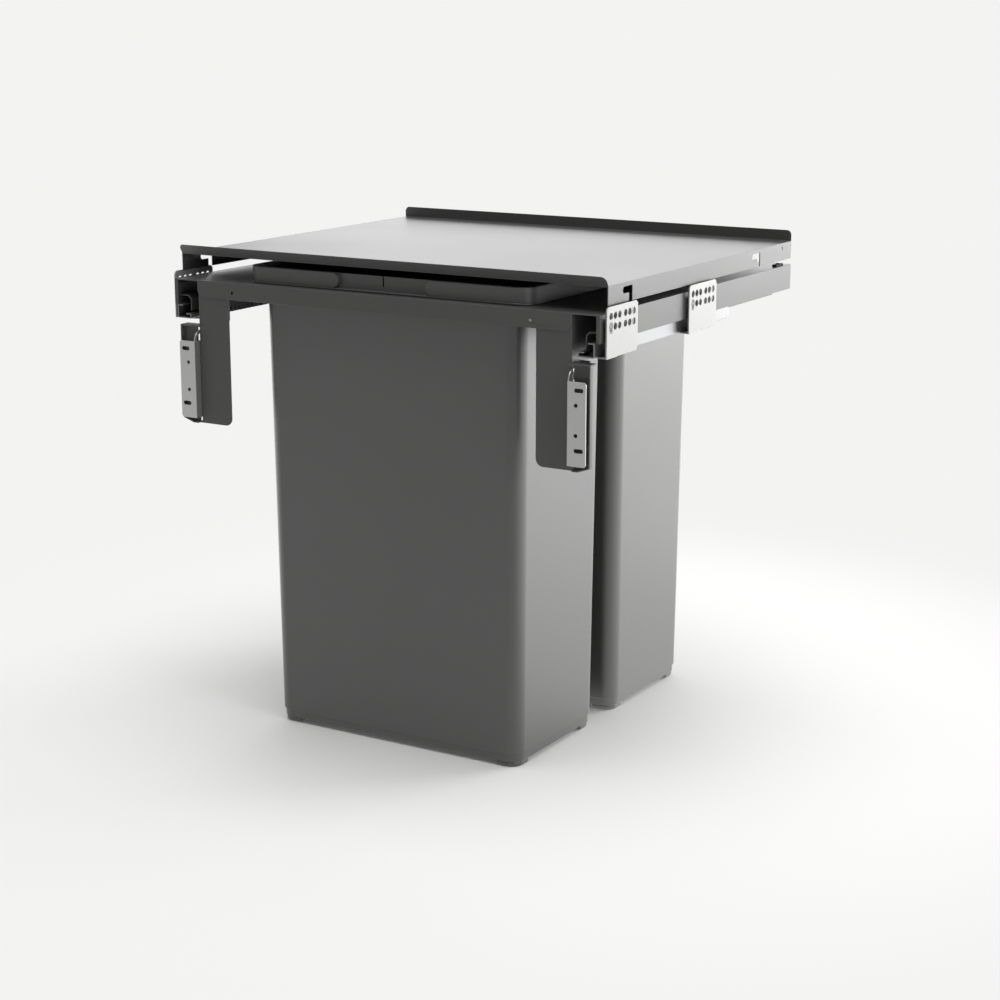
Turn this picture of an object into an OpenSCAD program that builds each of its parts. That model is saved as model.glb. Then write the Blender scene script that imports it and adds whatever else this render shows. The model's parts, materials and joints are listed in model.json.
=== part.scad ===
// Pull-out waste bin unit for a kitchen cabinet. It hangs from four cabinet
// brackets, slides forward on two telescopic runners and carries two bins.
// +Z is up, the cabinet door is at -Y, and the floor of the bins is z = 0.

/* [Cabinet] */
// Clear width between the two cabinet sides
cabinet_w = 568; // [560:2:600]
// Gap between a cabinet bracket and the frame's side wall
side_gap = 3.2; // [3:0.1:4.2]

/* [Frame] */
// Depth of the frame from its front flange to its rear flange
frame_d = 488; // [480:2:520]
// Height of the frame's top above the feet of the bins
frame_top = 525; // [440:5:600]
// Thickness of the frame's sheet
frame_t = 1.5; // [1.2:0.1:2]
// Height of the front flange
front_flange_h = 19.5; // [16:0.5:26]
// Height of the side and rear walls
side_wall_h = 30; // [26:0.5:32]
// Free width beside the front flange, where the runner shows
channel_w = 33.5; // [32:0.5:36]
// Width of the return at the front end of a side wall
wall_return_w = 4.5; // [3:0.5:4.5]
// Corner radius of the front flange
flange_r = 9; // [3:0.5:9.5]
// Depth of the turned lips round the two openings
opening_lip_h = 9; // [5:1:14]
// Length of a rubber buffer
buffer_l = 20; // [14:1:26]
// Width of a rubber buffer
buffer_w = 6; // [5:0.5:8]
// Distance of a buffer from the frame's rear
buffer_setback = 21; // [18:1:40]
// Diameter of the two trim holes in the front flange
trim_hole_d = 3.6; // [2:0.2:4]
// Distance of a trim hole from the middle
trim_hole_x = 196; // [150:2:220]
// Distance of a trim hole below the frame's top
trim_hole_drop = 11.5; // [10:0.5:12]

/* [Bins] */
// Outer width of a bin below its flange
bin_w = 341; // [300:1:360]
// Outer depth of a bin below its flange
bin_d = 191; // [180:1:196]
// How far each side of a bin leans in from top to bottom
bin_taper = 5; // [2:1:12]
// Wall thickness of a bin
bin_wall = 2.5; // [2:0.1:4]
// Corner radius of a bin
bin_r = 19; // [14:1:30]
// Clearance between a bin and the frame's opening
bin_gap = 1.5; // [1:0.1:2]
// How far a bin's flange reaches past its front and back
rim_reach = 9.5; // [7:0.5:10]
// How far a bin's flange reaches past its sides
side_reach = 16; // [8:0.5:20]
// Corner radius of the flange and the rim ring
collar_r = 22; // [14:1:26]
// Height of the recessed base band of a bin
base_band_h = 9; // [6:1:14]
// How far the base band is set back
base_band_inset = 1.4; // [0.6:0.2:2]
// Height of a bin's feet
foot_h = 6; // [4:0.5:8]
// Size of a foot
foot_size = 27; // [20:1:32]
// Distance from one bin to the next
bin_pitch = 224; // [222:1:232]
// Distance from the frame's front to the collar of the first bin
collar_setback = 13.5; // [12:0.5:18]
// Height of the rim ring above the frame
collar_h = 19; // [15:0.5:21]
// Wall of the rim ring
ring_wall = 7; // [5:0.5:8]
// Width of the finger recess in the rim ring
ring_recess_w = 114; // [80:2:160]
// Depth of the finger recess
ring_recess_d = 4.5; // [2:0.5:5]

/* [Lid] */
// Height of the lid's top above the frame's top
lid_rise = 28; // [25:0.5:40]
// Depth of the lid
lid_d = 470; // [440:2:472]
// Thickness of the lid's sheet
lid_t = 1.2; // [1:0.1:1.5]
// Distance of the lid's front fold behind the frame's front
lid_setback = 16; // [10:1:18]
// Height of the lid's side flanges
lid_flange_h = 21; // [18:0.5:23]
// Height of the front upstand
upstand_front_h = 10; // [6:1:14]
// How far the front upstand leans forward
upstand_lean = 6; // [2:1:8]
// Height of the rear upstand
upstand_rear_h = 13; // [8:1:18]
// Corner radius of the upstands
upstand_r = 6; // [3:1:6]
// Width of the hanging slots
slot_w = 7; // [6:0.5:8]
// Length of the level leg of a hanging slot
slot_run = 21; // [16:1:26]
// Distance of the level leg from the lid's top
slot_drop = 4.6; // [3:0.2:6]
// Distance of the front slot from the lid's front fold
slot_front_y = 33; // [28:1:50]
// Distance between the front and the rear slot
slot_spacing = 324; // [280:2:340]

/* [Cabinet brackets] */
// Thickness of a cabinet bracket
plate_t = 1.8; // [1.5:0.1:2.5]
// Length of a cabinet bracket
plate_l = 69; // [67:1:76]
// Height of a cabinet bracket above the rail's base
plate_h = 52.5; // [46:0.5:53]
// Distance of the front bracket from the frame's front
plate_front_y = 6; // [2:1:20]
// Distance between the front and rear brackets
plate_spacing = 192; // [160:2:220]
// Diameter of the screw holes
plate_hole_d = 7.2; // [5:0.2:7.4]
// Pitch of the holes in a group of three
hole_pitch = 9.4; // [8:0.2:9.6]
// Distance between the two groups of holes
group_pitch = 32; // [30:1:36]
// Distance between the two rows of holes
row_pitch = 11.2; // [10:0.2:12]
// Distance of the upper row below the bracket's top
row_drop = 10.2; // [8:0.1:12]

/* [Runners] */
// How far the frame pulls out
travel = 450; // [400:5:450]
// Height from the base of the fixed rail to the frame's top
rail_drop = 45; // [44:0.5:48]
// Distance of the fixed rail's upright from the cabinet side
rail_inset = 10; // [9.5:0.5:11]
// Thickness of the rails
rail_t = 1.5; // [1.2:0.1:1.6]
// Length of the fixed rail
fixed_l = 324; // [308:4:340]
// Length of the middle rail
middle_l = 300; // [292:2:316]
// Length of the drawer rail
drawer_l = 470; // [450:5:470]
// Diameter of the balls
ball_d = 5; // [4.6:0.1:5]
// Running clearance of the balls
ball_gap = 0.3; // [0.2:0.05:0.4]
// Pitch of the balls in the lower cages
lower_pitch = 12; // [9:1:16]
// Pitch of the balls in the upper cages
upper_pitch = 13; // [9:1:16]
// Length of the lower cages
lower_cage_l = 88; // [60:4:88]
// Length of the upper cages
upper_cage_l = 184; // [160:4:184]
// Width of the middle rail's foot
middle_foot_w = 7.8; // [7:0.1:8]
// Width of the middle rail's crown
middle_crown_w = 11.5; // [10.5:0.1:11.6]
// Length of the ribbed strip
strip_l = 200; // [150:5:250]
// Pitch of the notches in the ribbed strip
rib_pitch = 8; // [6:1:12]

/* [Door brackets] */
// Thickness of the door brackets
door_t = 2; // [1.5:0.25:2.5]
// Height of the door brackets below the frame's top
door_drop = 167; // [150:1:200]
// Width of a door bracket's front plate
door_plate_w = 43; // [36:0.5:46]
// Radius of the front plate's free corner
door_corner_r = 9; // [4:1:16]
// Width of the pocket that holds the door plate
pocket_w = 24.5; // [24.5:0.5:26.5]
// Depth of the pocket's top
pocket_d = 14; // [10:1:28]
// Depth of the inner wall behind the front plate
inner_wall_d = 20; // [19:1:24]
// Height of the pocket
pocket_h = 115; // [112:1:117]
// Width and height of the pocket's cut corner
pocket_cut = [15, 5];
// Length of the wall that joins the bracket to the frame
mount_wall_l = 55; // [45:1:80]

/* [Door plates] */
// Thickness of the steel door plates
steel_t = 1.5; // [1.2:0.1:1.8]
// How far the door face stands in front of the frame
face_forward = 8; // [7:0.5:10]
// Width of the door face
face_w = 22; // [20:0.2:22.2]
// Height of the door face
face_h = 90; // [88:1:94]
// Height of the door face's lower end in the pocket
face_lift = 7; // [6:0.5:10]
// Height of the hole pattern's middle above the lower end
face_centre = 49; // [44:1:52]
// Distance between the two round holes
door_hole_pitch = 32; // [30:1:34]
// Distance between the two slots
door_slot_pitch = 64; // [60:1:68]
// Diameter of the round holes
door_hole_d = 4.2; // [3:0.2:5]
// Length of the slots
door_slot_l = 11; // [9:0.5:12]
// Width of the slots
door_slot_w = 4.5; // [4:0.5:5]
// Depth of the inner flange
flange_d = 21; // [20:0.5:21]
// Largest tilt of a door plate each way, in degrees
tilt_max = 1.5; // [0.5:0.1:1.5]

/* [Hidden] */
$fn = 40;

// Main planes
left = -1;
right = 1;
half_cabinet = cabinet_w / 2;
half_frame = half_cabinet - plate_t - side_gap;
half_flange = half_frame - channel_w;
face_y = -(face_forward + frame_d) / 2;
front_y = face_y + face_forward;
rear_y = front_y + frame_d;
frame_under = frame_top - frame_t;
eps = 0.01;

// Clearances
seat_gap = 0.3;
pin_gap = 0.05;
bolt_gap = 0.02;

// Bins
collar_w = bin_w + 2 * side_reach;
collar_d = bin_d + 2 * rim_reach;
opening_w = bin_w + 2 * bin_gap;
opening_d = bin_d + 2 * bin_gap;
first_bin_y = front_y + collar_setback + collar_d / 2;
rim_t = 2.2;
ring_z = frame_top + seat_gap + rim_t;
ring_h = frame_top + collar_h - ring_z;

// Lid
lid_z = frame_top + lid_rise;
lid_y = front_y + lid_setback;
half_lid = half_frame + 0.5;
lid_hole_d = 4;
lid_hole_inset = [28, 6.5];

// Runners, as places in the section of the right-hand runner
rail_x = half_cabinet - rail_inset;
rail_z = frame_top - rail_drop;
hook_w = 20;
hook_h = 6;
hook_lip = 7;
lip_w = 8;
rail_y = front_y - 2;
drawer_y = front_y + 6;
middle_y = rail_y + 24;
base_top = rail_z + rail_t;
lower_ball_z = base_top + ball_gap + ball_d / 2;
flange_z = lower_ball_z + ball_d / 2 + ball_gap;
upper_row_z = flange_z + rail_t + ball_gap + ball_d / 2;
lip_z = upper_row_z + ball_d / 2 + ball_gap;
fixed_h = lip_z + rail_t - rail_z;
lower_ball_x = rail_x - rail_t - 4;
web_x = rail_x - 11.1;
web_top = lip_z + rail_t + 1.9 + rail_t;
crown_ball_z = web_top + ball_gap + ball_d / 2;
crown_ball_x = rail_x - 4.2;
crown_z = crown_ball_z + ball_d / 2 + ball_gap;
wall_x = half_frame - frame_t;
lower_cage_y = rail_y + travel / 4 + 4.5;
upper_cage_y = middle_y + travel / 4 + 0.5;
pocket_gap = 0.15;
cage_h = 2.6;
strip_w = 6;
strip_h = 14;
rib_w = 2.5;
rib_depth = 1.5;
rib_h = 6;
strip_y = rail_y + 60;

// Cabinet brackets
plate_y = [front_y + plate_front_y, front_y + plate_front_y + plate_spacing];
plate_top = rail_z + plate_h;
hole_margin = (plate_l - group_pitch - 2 * hole_pitch) / 2;
foot_in = hook_w - 2;
foot_t = 1.6;
rivet_r = 2;

// Door brackets and door plates
bracket_y = front_y + frame_t;
bracket_z = frame_top - door_drop;
pocket_x = half_flange - door_t;
pocket_front = front_y - 3;
pocket_top = bracket_z + pocket_h;
face_x = half_flange + seat_gap;
slot_edge = face_x + steel_t + 0.9;
face_z = bracket_z + face_lift;
pivot = [bracket_y + door_t + 3.8, face_z + 7];
lock_z = face_z + 78;
pin_r = 2;

module side(s) {
    mirror([s < 0 ? 1 : 0, 0, 0]) children();
}

// Draws a flat outline in X and Z and gives it a length along Y
module along_y(y, len) {
    translate([0, y + len, 0]) rotate([90, 0, 0]) linear_extrude(len) children();
}

// Draws a flat outline in Y and Z and gives it a thickness along X
module along_x(x, len) {
    translate([x, 0, 0]) rotate([90, 0, 90]) linear_extrude(len) children();
}

// Bent sheet seen on its edge, through the middle of its thickness
module bent(points, t) {
    for (i = [0 : len(points) - 2]) {
        run = points[i + 1] - points[i];
        translate(points[i]) rotate(atan2(run[1], run[0]))
            translate([0, -t / 2]) square([norm(run), t]);
        if (i > 0) translate(points[i]) circle(d = t, $fn = 24);
    }
}

module rounded_rect(w, d, r) {
    square([w - 2 * r, d], center = true);
    square([w, d - 2 * r], center = true);
    for (x = [-1, 1], y = [-1, 1])
        translate([x * (w / 2 - r), y * (d / 2 - r)]) circle(r);
}

// Slab with round corners, for the hulls of a tapered bin
module slab(w, d, r, h = 1) {
    for (x = [-1, 1], y = [-1, 1])
        translate([x * (w / 2 - r), y * (d / 2 - r)]) cylinder(h = h, r = r, $fn = 32);
}

// Plate in X and Z whose two lower corners are round
module round_foot_plate(w, h, r) {
    translate([-w / 2, -h + r]) square([w, h - r]);
    translate([-w / 2 + r, -h]) square([w - 2 * r, h]);
    for (x = [-1, 1]) translate([x * (w / 2 - r), -h + r]) circle(r);
}

module slot_2d(l, w) {
    square([l - w, w], center = true);
    for (x = [-1, 1]) translate([x * (l - w) / 2, 0]) circle(d = w);
}

// Cabinet bracket: a plate on the cabinet side with a foot under the rail
function hole_y(i) = hole_margin + (i % 3) * hole_pitch + (i > 2 ? group_pitch : 0);
upper_row = plate_top - row_drop;
lower_row = upper_row - row_pitch;
cam_r = [3.9, 3.3];
cam_offset = 4.6;

module plate_outline() {
    r = 5;
    cut = [3, 6];
    step = 0.9;
    z0 = rail_z - foot_t;
    h = plate_top - z0;
    translate([0, z0]) difference() {
        union() {
            square([plate_l, h - r]);
            translate([r, 0]) square([plate_l - 2 * r, h]);
            for (y = [r, plate_l - r]) translate([y, h - r]) circle(r);
        }
        polygon([[plate_l - cut[0], -eps], [plate_l + eps, cut[1]], [plate_l + eps, -eps]]);
        for (y = [plate_l / 3, 2 * plate_l / 3])
            translate([y, -eps]) square([plate_l - y, step], center = false);
    }
}

module bracket(s, y) {
    color("whitesmoke") side(s) difference() {
        union() {
            translate([0, y, 0]) along_x(half_cabinet - plate_t, plate_t) plate_outline();
            translate([rail_x - foot_in, y + 2, rail_z - foot_t])
                cube([half_cabinet - rail_x + foot_in - plate_t + eps, plate_l - 12, foot_t]);
        }
        for (i = [0 : 5], z = [upper_row, lower_row])
            if (i > 0 || z == upper_row)
                translate([half_cabinet - plate_t - 1, y + hole_y(i), z])
                    rotate([0, 90, 0]) cylinder(h = plate_t + 2, d = plate_hole_d);
        for (k = [0, 1])
            translate([half_cabinet - plate_t - 1, y + hole_y(0), lower_row + 1 - k * cam_offset])
                rotate([0, 90, 0]) cylinder(h = plate_t + 2, r = cam_r[k]);
        rivet_places(y) cylinder(h = foot_t + 2, r = rivet_r + bolt_gap);
    }
}

module rivet_places(y) {
    for (dy = [12, plate_l - 18])
        translate([rail_x - hook_w + rail_t + 4, y + dy, rail_z - foot_t - 1]) children();
}

module bracket_left_front() { bracket(left, plate_y[0]); }
module bracket_left_rear() { bracket(left, plate_y[1]); }
module bracket_right_front() { bracket(right, plate_y[0]); }
module bracket_right_rear() { bracket(right, plate_y[1]); }

// Height cams: a double round head set flush in the bracket's lower row
module cam_screws() {
    color("gainsboro") for (s = [left, right], y = plate_y) side(s)
        translate([half_cabinet - plate_t, y + hole_y(0), lower_row + 1]) rotate([0, 90, 0])
            difference() {
                union() {
                    for (k = [0, 1]) translate([k * cam_offset, 0, 0]) {
                        cylinder(h = plate_t - 0.1, r = cam_r[k] - 0.2);
                        translate([0, 0, -0.7]) cylinder(h = 0.7, r = cam_r[k] + 0.9);
                    }
                }
                translate([0, 0, plate_t - 0.8]) difference() {
                    cylinder(h = 1, r = cam_r[0] - 1.1);
                    translate([0, 0, -eps]) cylinder(h = 2, r = cam_r[0] - 1.6);
                }
                translate([cam_offset, 0, plate_t - 1.1]) cylinder(h = 2, r = 1.3);
            }
}

// Fixed rail: base with a hook inside and an upright with a lip outside
module fixed_rail(s) {
    color("gainsboro") side(s) difference() {
        along_y(rail_y, fixed_l) translate([rail_x, rail_z]) {
            m = rail_t / 2;
            bent([[-hook_w + rail_t + hook_lip - m, hook_h - m], [-hook_w + 2 * m, hook_h - m],
                  [-hook_w + m, hook_h - 2 * m], [-hook_w + m, 2 * m], [-hook_w + 2 * m, m],
                  [-m, m], [-m, fixed_h - m], [-lip_w, fixed_h - m]], rail_t);
        }
        for (y = plate_y) rivet_places(y) cylinder(h = foot_t + rail_t + 2, r = rivet_r + bolt_gap);
    }
}

module fixed_rail_left() { fixed_rail(left); }
module fixed_rail_right() { fixed_rail(right); }

// Rivets that hold the brackets' feet to the rails
module rail_rivets() {
    head_h = 0.9;
    color("silver") for (s = [left, right], y = plate_y) side(s) rivet_places(y) {
        translate([0, 0, 1 - head_h]) cylinder(h = head_h, r = rivet_r + 1.2);
        cylinder(h = foot_t + rail_t + 1 + head_h / 2, r = rivet_r);
        translate([0, 0, 1 + foot_t + rail_t]) cylinder(h = head_h, r = rivet_r + 0.8);
    }
}

// Ribbed strip: a notched plastic strip clipped to the inner side of the rail
module ribbed_strip(s) {
    x = rail_x - hook_w - strip_w;
    notches = floor((strip_l - 8) / rib_pitch);
    color("dimgray") side(s) difference() {
        translate([x, strip_y, rail_z + 0.4]) cube([strip_w, strip_l, strip_h]);
        for (i = [0 : notches - 1])
            translate([x - eps, strip_y + 5 + i * rib_pitch, rail_z])
                cube([rib_depth, rib_w, rib_h]);
    }
}

module ribbed_strip_left() { ribbed_strip(left); }
module ribbed_strip_right() { ribbed_strip(right); }

// Middle rail: a foot inside the fixed rail, a web and a crown flange
module middle_rail(s) {
    crown_lap = 1.1;
    color("silver") side(s) along_y(middle_y, middle_l) {
        translate([web_x, flange_z]) square([rail_t, web_top - flange_z]);
        translate([web_x, flange_z]) square([middle_foot_w, rail_t]);
        translate([web_x - crown_lap, web_top - rail_t]) square([middle_crown_w, rail_t]);
    }
}

module middle_rail_left() { middle_rail(left); }
module middle_rail_right() { middle_rail(right); }

function lower_count() = floor((lower_cage_l - 10) / lower_pitch) + 1;
function upper_count() = floor((upper_cage_l - 10) / upper_pitch) + 1;

module lower_ball_places() {
    for (i = [0 : lower_count() - 1], z = [lower_ball_z, upper_row_z])
        translate([lower_ball_x, lower_cage_y + 5 + i * lower_pitch, z]) children();
}

module upper_ball_places() {
    for (i = [0 : upper_count() - 1])
        translate([crown_ball_x, upper_cage_y + 5 + i * upper_pitch, crown_ball_z]) children();
}

// Lower cage: two rows of ball pockets joined by a side web
module lower_cage(s) {
    arm_w = 6.5;
    web_t = 0.8;
    web_edge = rail_x - rail_t - seat_gap - web_t;
    color("darkslategray") side(s) difference() {
        union() {
            for (z = [lower_ball_z, upper_row_z])
                translate([web_edge - arm_w, lower_cage_y, z - cage_h / 2])
                    cube([arm_w + eps, lower_cage_l, cage_h]);
            translate([web_edge, lower_cage_y, lower_ball_z - cage_h / 2])
                cube([web_t, lower_cage_l, upper_row_z - lower_ball_z + cage_h]);
        }
        lower_ball_places() cylinder(h = ball_d, d = ball_d + 2 * pocket_gap, center = true);
    }
}

module lower_cage_left() { lower_cage(left); }
module lower_cage_right() { lower_cage(right); }

module lower_balls(s) {
    color("lightsteelblue") side(s) lower_ball_places() sphere(d = ball_d, $fn = 24);
}

module lower_balls_left() { lower_balls(left); }
module lower_balls_right() { lower_balls(right); }

// Upper cage: one row of ball pockets on the middle rail's crown
module upper_cage(s) {
    w = ball_d + 1.4;
    h = 2.2;
    color("darkslategray") side(s) difference() {
        translate([crown_ball_x - w / 2, upper_cage_y, web_top + 0.6])
            cube([w, upper_cage_l, h]);
        upper_ball_places() cylinder(h = ball_d, d = ball_d + 2 * pocket_gap, center = true);
    }
}

module upper_cage_left() { upper_cage(left); }
module upper_cage_right() { upper_cage(right); }

module upper_balls(s) {
    color("lightsteelblue") side(s) upper_ball_places() sphere(d = ball_d, $fn = 24);
}

module upper_balls_left() { upper_balls(left); }
module upper_balls_right() { upper_balls(right); }

// Drawer rail: a domed profile welded to the inner face of the side wall
module drawer_rail(s) {
    m = rail_t / 2;
    leg_x = web_x - 2.75;
    shoulder = 3.75;
    top = crown_z + m;
    wall = wall_x - m;
    color("#3f4042") side(s) along_y(drawer_y, drawer_l)
        bent([[leg_x, flange_z + 0.4], [leg_x, top - shoulder], [leg_x + shoulder, top],
              [wall, top], [wall, frame_under - 4]], rail_t);
}

module drawer_rail_left() { drawer_rail(left); }
module drawer_rail_right() { drawer_rail(right); }

// Frame tray: folded sheet with two openings that carry the bins
module bin_places() {
    for (i = [0, 1]) translate([0, first_bin_y + i * bin_pitch, 0]) children();
}

module frame_tray() {
    opening_r = bin_r + bin_gap;
    color("#3f4042") difference() {
        union() {
            translate([-half_frame, front_y, frame_under])
                cube([2 * half_frame, frame_d, frame_t]);
            along_y(front_y, frame_t) translate([0, frame_top])
                round_foot_plate(2 * half_flange, front_flange_h, flange_r);
            for (s = [left, right]) side(s) {
                translate([wall_x, front_y, frame_top - side_wall_h])
                    cube([frame_t, frame_d, side_wall_h]);
                translate([half_frame - wall_return_w, front_y, frame_top - side_wall_h])
                    cube([wall_return_w, frame_t, side_wall_h]);
            }
            translate([-half_flange, rear_y - frame_t, frame_top - side_wall_h])
                cube([2 * half_flange, frame_t, side_wall_h]);
            bin_places() translate([0, 0, frame_top - opening_lip_h])
                linear_extrude(opening_lip_h)
                    rounded_rect(opening_w + 2 * frame_t, opening_d + 2 * frame_t,
                                 opening_r + frame_t);
        }
        bin_places() translate([0, 0, frame_top - opening_lip_h - 1])
            linear_extrude(opening_lip_h + 2)
                rounded_rect(opening_w, opening_d, opening_r);
        for (x = [-trim_hole_x, trim_hole_x])
            translate([x, front_y - 1, frame_top - trim_hole_drop]) rotate([-90, 0, 0])
                cylinder(h = frame_t + 2, d = trim_hole_d);
    }
}

// Rubber buffers on the rear corners of the frame
module top_buffers() {
    size = [buffer_w, buffer_l, 3];
    inset = [1, buffer_setback];
    color("#151515") for (s = [left, right]) side(s)
        translate([half_frame - inset[0] - size[0], rear_y - inset[1] - size[1], frame_top]) {
            cube(size);
            translate([size[0] / 2, size[1] / 2, size[2]]) cylinder(h = 1, d = 4.5);
        }
}

// Door bracket: front plate, deep mounting wall and a pocket for the door plate
function pocket_outline(t) = [
    [pocket_x + t, bracket_z + t],
    [half_flange + pocket_w - pocket_cut[0] - t * pocket_cut[1] / norm(pocket_cut), bracket_z + t],
    [half_flange + pocket_w - t, bracket_z + pocket_cut[1] + t * (1 - pocket_cut[1] / pocket_cut[0])],
    [half_flange + pocket_w - t, pocket_top - t],
    [pocket_x + t, pocket_top - t]];

module door_bracket(s) {
    r = door_corner_r;
    x0 = half_flange - door_plate_w;
    h = frame_under - bracket_z;
    fold_start = 10;
    fold_w = 8;
    return_w = 9;
    color("#3f4042") side(s) difference() {
        union() {
            along_y(bracket_y, door_t) translate([x0, bracket_z]) {
                translate([0, r]) square([door_plate_w, h - r]);
                translate([r, 0]) square([door_plate_w - r, h]);
                translate([r, r]) circle(r);
            }
            translate([pocket_x, bracket_y, bracket_z])
                cube([door_t, inner_wall_d, pocket_h]);
            translate([pocket_x, bracket_y, pocket_top - door_t])
                cube([door_t, mount_wall_l, frame_under - pocket_top + door_t]);
            translate([pocket_x, bracket_y + fold_start, frame_under - door_t])
                cube([door_t + fold_w, mount_wall_l - fold_start, door_t]);
            translate([pocket_x, pocket_front, pocket_top - door_t])
                cube([pocket_w + door_t, pocket_d, door_t]);
            along_y(pocket_front, bracket_y - pocket_front + door_t) difference() {
                polygon(pocket_outline(0));
                polygon(pocket_outline(door_t));
                translate([0, bracket_z]) square([slot_edge, pocket_h - door_t]);
            }
            along_y(bracket_y, door_t) intersection() {
                polygon(pocket_outline(0));
                translate([slot_edge, bracket_z]) square([pocket_w, pocket_h]);
            }
            translate([pocket_x, bracket_y, bracket_z])
                cube([slot_edge - pocket_x + 2, inner_wall_d, door_t]);
            translate([pocket_x, bracket_y + inner_wall_d - door_t, bracket_z])
                cube([slot_edge - pocket_x + return_w, door_t, pocket_h]);
        }
        translate([pocket_x - 1, pivot[0], pivot[1]]) rotate([0, 90, 0])
            cylinder(h = door_t + 2, r = pin_r + bolt_gap);
        translate([pocket_x - 1, pivot[0], lock_z]) rotate([0, 90, 0])
            cylinder(h = door_t + 2, r = pin_r + bolt_gap);
    }
}

module door_bracket_left() { door_bracket(left); }
module door_bracket_right() { door_bracket(right); }

// Door plate: slotted face, inner flange and a curved arm, tilting on a rivet
module door_plate(s) {
    r = 3;
    slot_x = 13.4;
    hole_x = 10;
    arm = [8, 12];
    tilt_slot = 2 * (pin_r + pin_gap) + 2 * (lock_z - pivot[1]) * sin(tilt_max) + 0.4;
    mid = face_z + face_centre;
    color("#b4b6b8") side(s) {
        difference() {
            along_y(face_y, steel_t) translate([face_x, face_z]) {
                square([face_w - r, face_h]);
                translate([0, r]) square([face_w, face_h - 2 * r]);
                for (z = [r, face_h - r]) translate([face_w - r, z]) circle(r);
            }
            for (dz = [-1, 1]) {
                translate([face_x + slot_x, face_y + steel_t + 1, mid + dz * door_slot_pitch / 2])
                    rotate([90, 0, 0]) linear_extrude(steel_t + 2) slot_2d(door_slot_l, door_slot_w);
                translate([face_x + hole_x, face_y - 1, mid + dz * door_hole_pitch / 2])
                    rotate([-90, 0, 0]) cylinder(h = steel_t + 2, d = door_hole_d);
            }
        }
        difference() {
            along_x(face_x, steel_t) {
                translate([face_y + steel_t / 2, face_z]) square([flange_d - steel_t / 2, face_h]);
                translate([face_y + arm[1] + 0.4, face_z + face_h]) difference() {
                    circle(arm[1]);
                    circle(arm[0]);
                    translate([-2 * arm[1], -2 * arm[1]]) square([4 * arm[1], 2 * arm[1]]);
                    translate([2, -arm[1]]) square(2 * arm[1]);
                }
            }
            translate([face_x - 1, pivot[0], pivot[1]]) rotate([0, 90, 0])
                cylinder(h = steel_t + 2, r = pin_r + pin_gap);
            translate([0, pivot[0], lock_z]) along_x(face_x - 1, steel_t + 2)
                slot_2d(tilt_slot, 2 * (pin_r + pin_gap) + 0.2);
        }
    }
}

module door_plate_left() { door_plate(left); }
module door_plate_right() { door_plate(right); }

// Rivets on which the door plates tilt
module headed_pin(z, head_r, head_h) {
    grip = door_t + seat_gap + steel_t + 0.2;
    translate([pocket_x, pivot[0], z]) rotate([0, 90, 0]) {
        translate([0, 0, -1.2]) cylinder(h = 1.2, r = head_r);
        translate([0, 0, -0.5]) cylinder(h = grip + 1, r = pin_r);
        translate([0, 0, grip]) cylinder(h = head_h, r = head_r);
    }
}

module pivot_rivets() {
    color("silver") for (s = [left, right]) side(s) headed_pin(pivot[1], 3.4, 1.2);
}

// Screws that lock the tilt, with a hexagon socket
module tilt_screws() {
    grip = door_t + seat_gap + steel_t + 0.2;
    color("dimgray") for (s = [left, right]) side(s) difference() {
        headed_pin(lock_z, 3.6, 2.6);
        translate([pocket_x + grip + 1, pivot[0], lock_z]) rotate([0, 90, 0])
            cylinder(h = 3, d = 3.4, $fn = 6);
    }
}

// Bin: tapered bucket with a rim flange, a recessed base band and four feet
module bin() {
    base_z = foot_h + base_band_h;
    base_w = bin_w - 2 * bin_taper;
    base_d = bin_d - 2 * bin_taper;
    band = 2 * base_band_inset;
    inner_r = bin_r - bin_wall;
    foot_inset = band + 3;
    color("#4a4b4d") {
        difference() {
            union() {
                hull() {
                    translate([0, 0, frame_top - 1]) slab(bin_w, bin_d, bin_r, 2 + seat_gap);
                    translate([0, 0, base_z]) slab(base_w, base_d, bin_r);
                }
                translate([0, 0, foot_h]) linear_extrude(base_band_h + 1)
                    rounded_rect(base_w - band, base_d - band, bin_r - base_band_inset);
                translate([0, 0, frame_top + seat_gap]) linear_extrude(rim_t)
                    rounded_rect(collar_w, collar_d, collar_r);
            }
            hull() {
                translate([0, 0, frame_top + seat_gap + rim_t])
                    slab(bin_w - 2 * bin_wall, bin_d - 2 * bin_wall, inner_r);
                translate([0, 0, foot_h + bin_wall])
                    slab(base_w - band - 2 * bin_wall, base_d - band - 2 * bin_wall,
                         inner_r - base_band_inset);
            }
        }
        linear_extrude(foot_h + 1) intersection() {
            rounded_rect(base_w - foot_inset, base_d - foot_inset, bin_r - foot_inset / 2);
            for (x = [-1, 1], y = [-1, 1])
                translate([x * base_w / 2, y * base_d / 2])
                    square(2 * foot_size + foot_inset, center = true);
        }
    }
}

module bin_front() { translate([0, first_bin_y, 0]) bin(); }
module bin_rear() { translate([0, first_bin_y + bin_pitch, 0]) bin(); }

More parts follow.
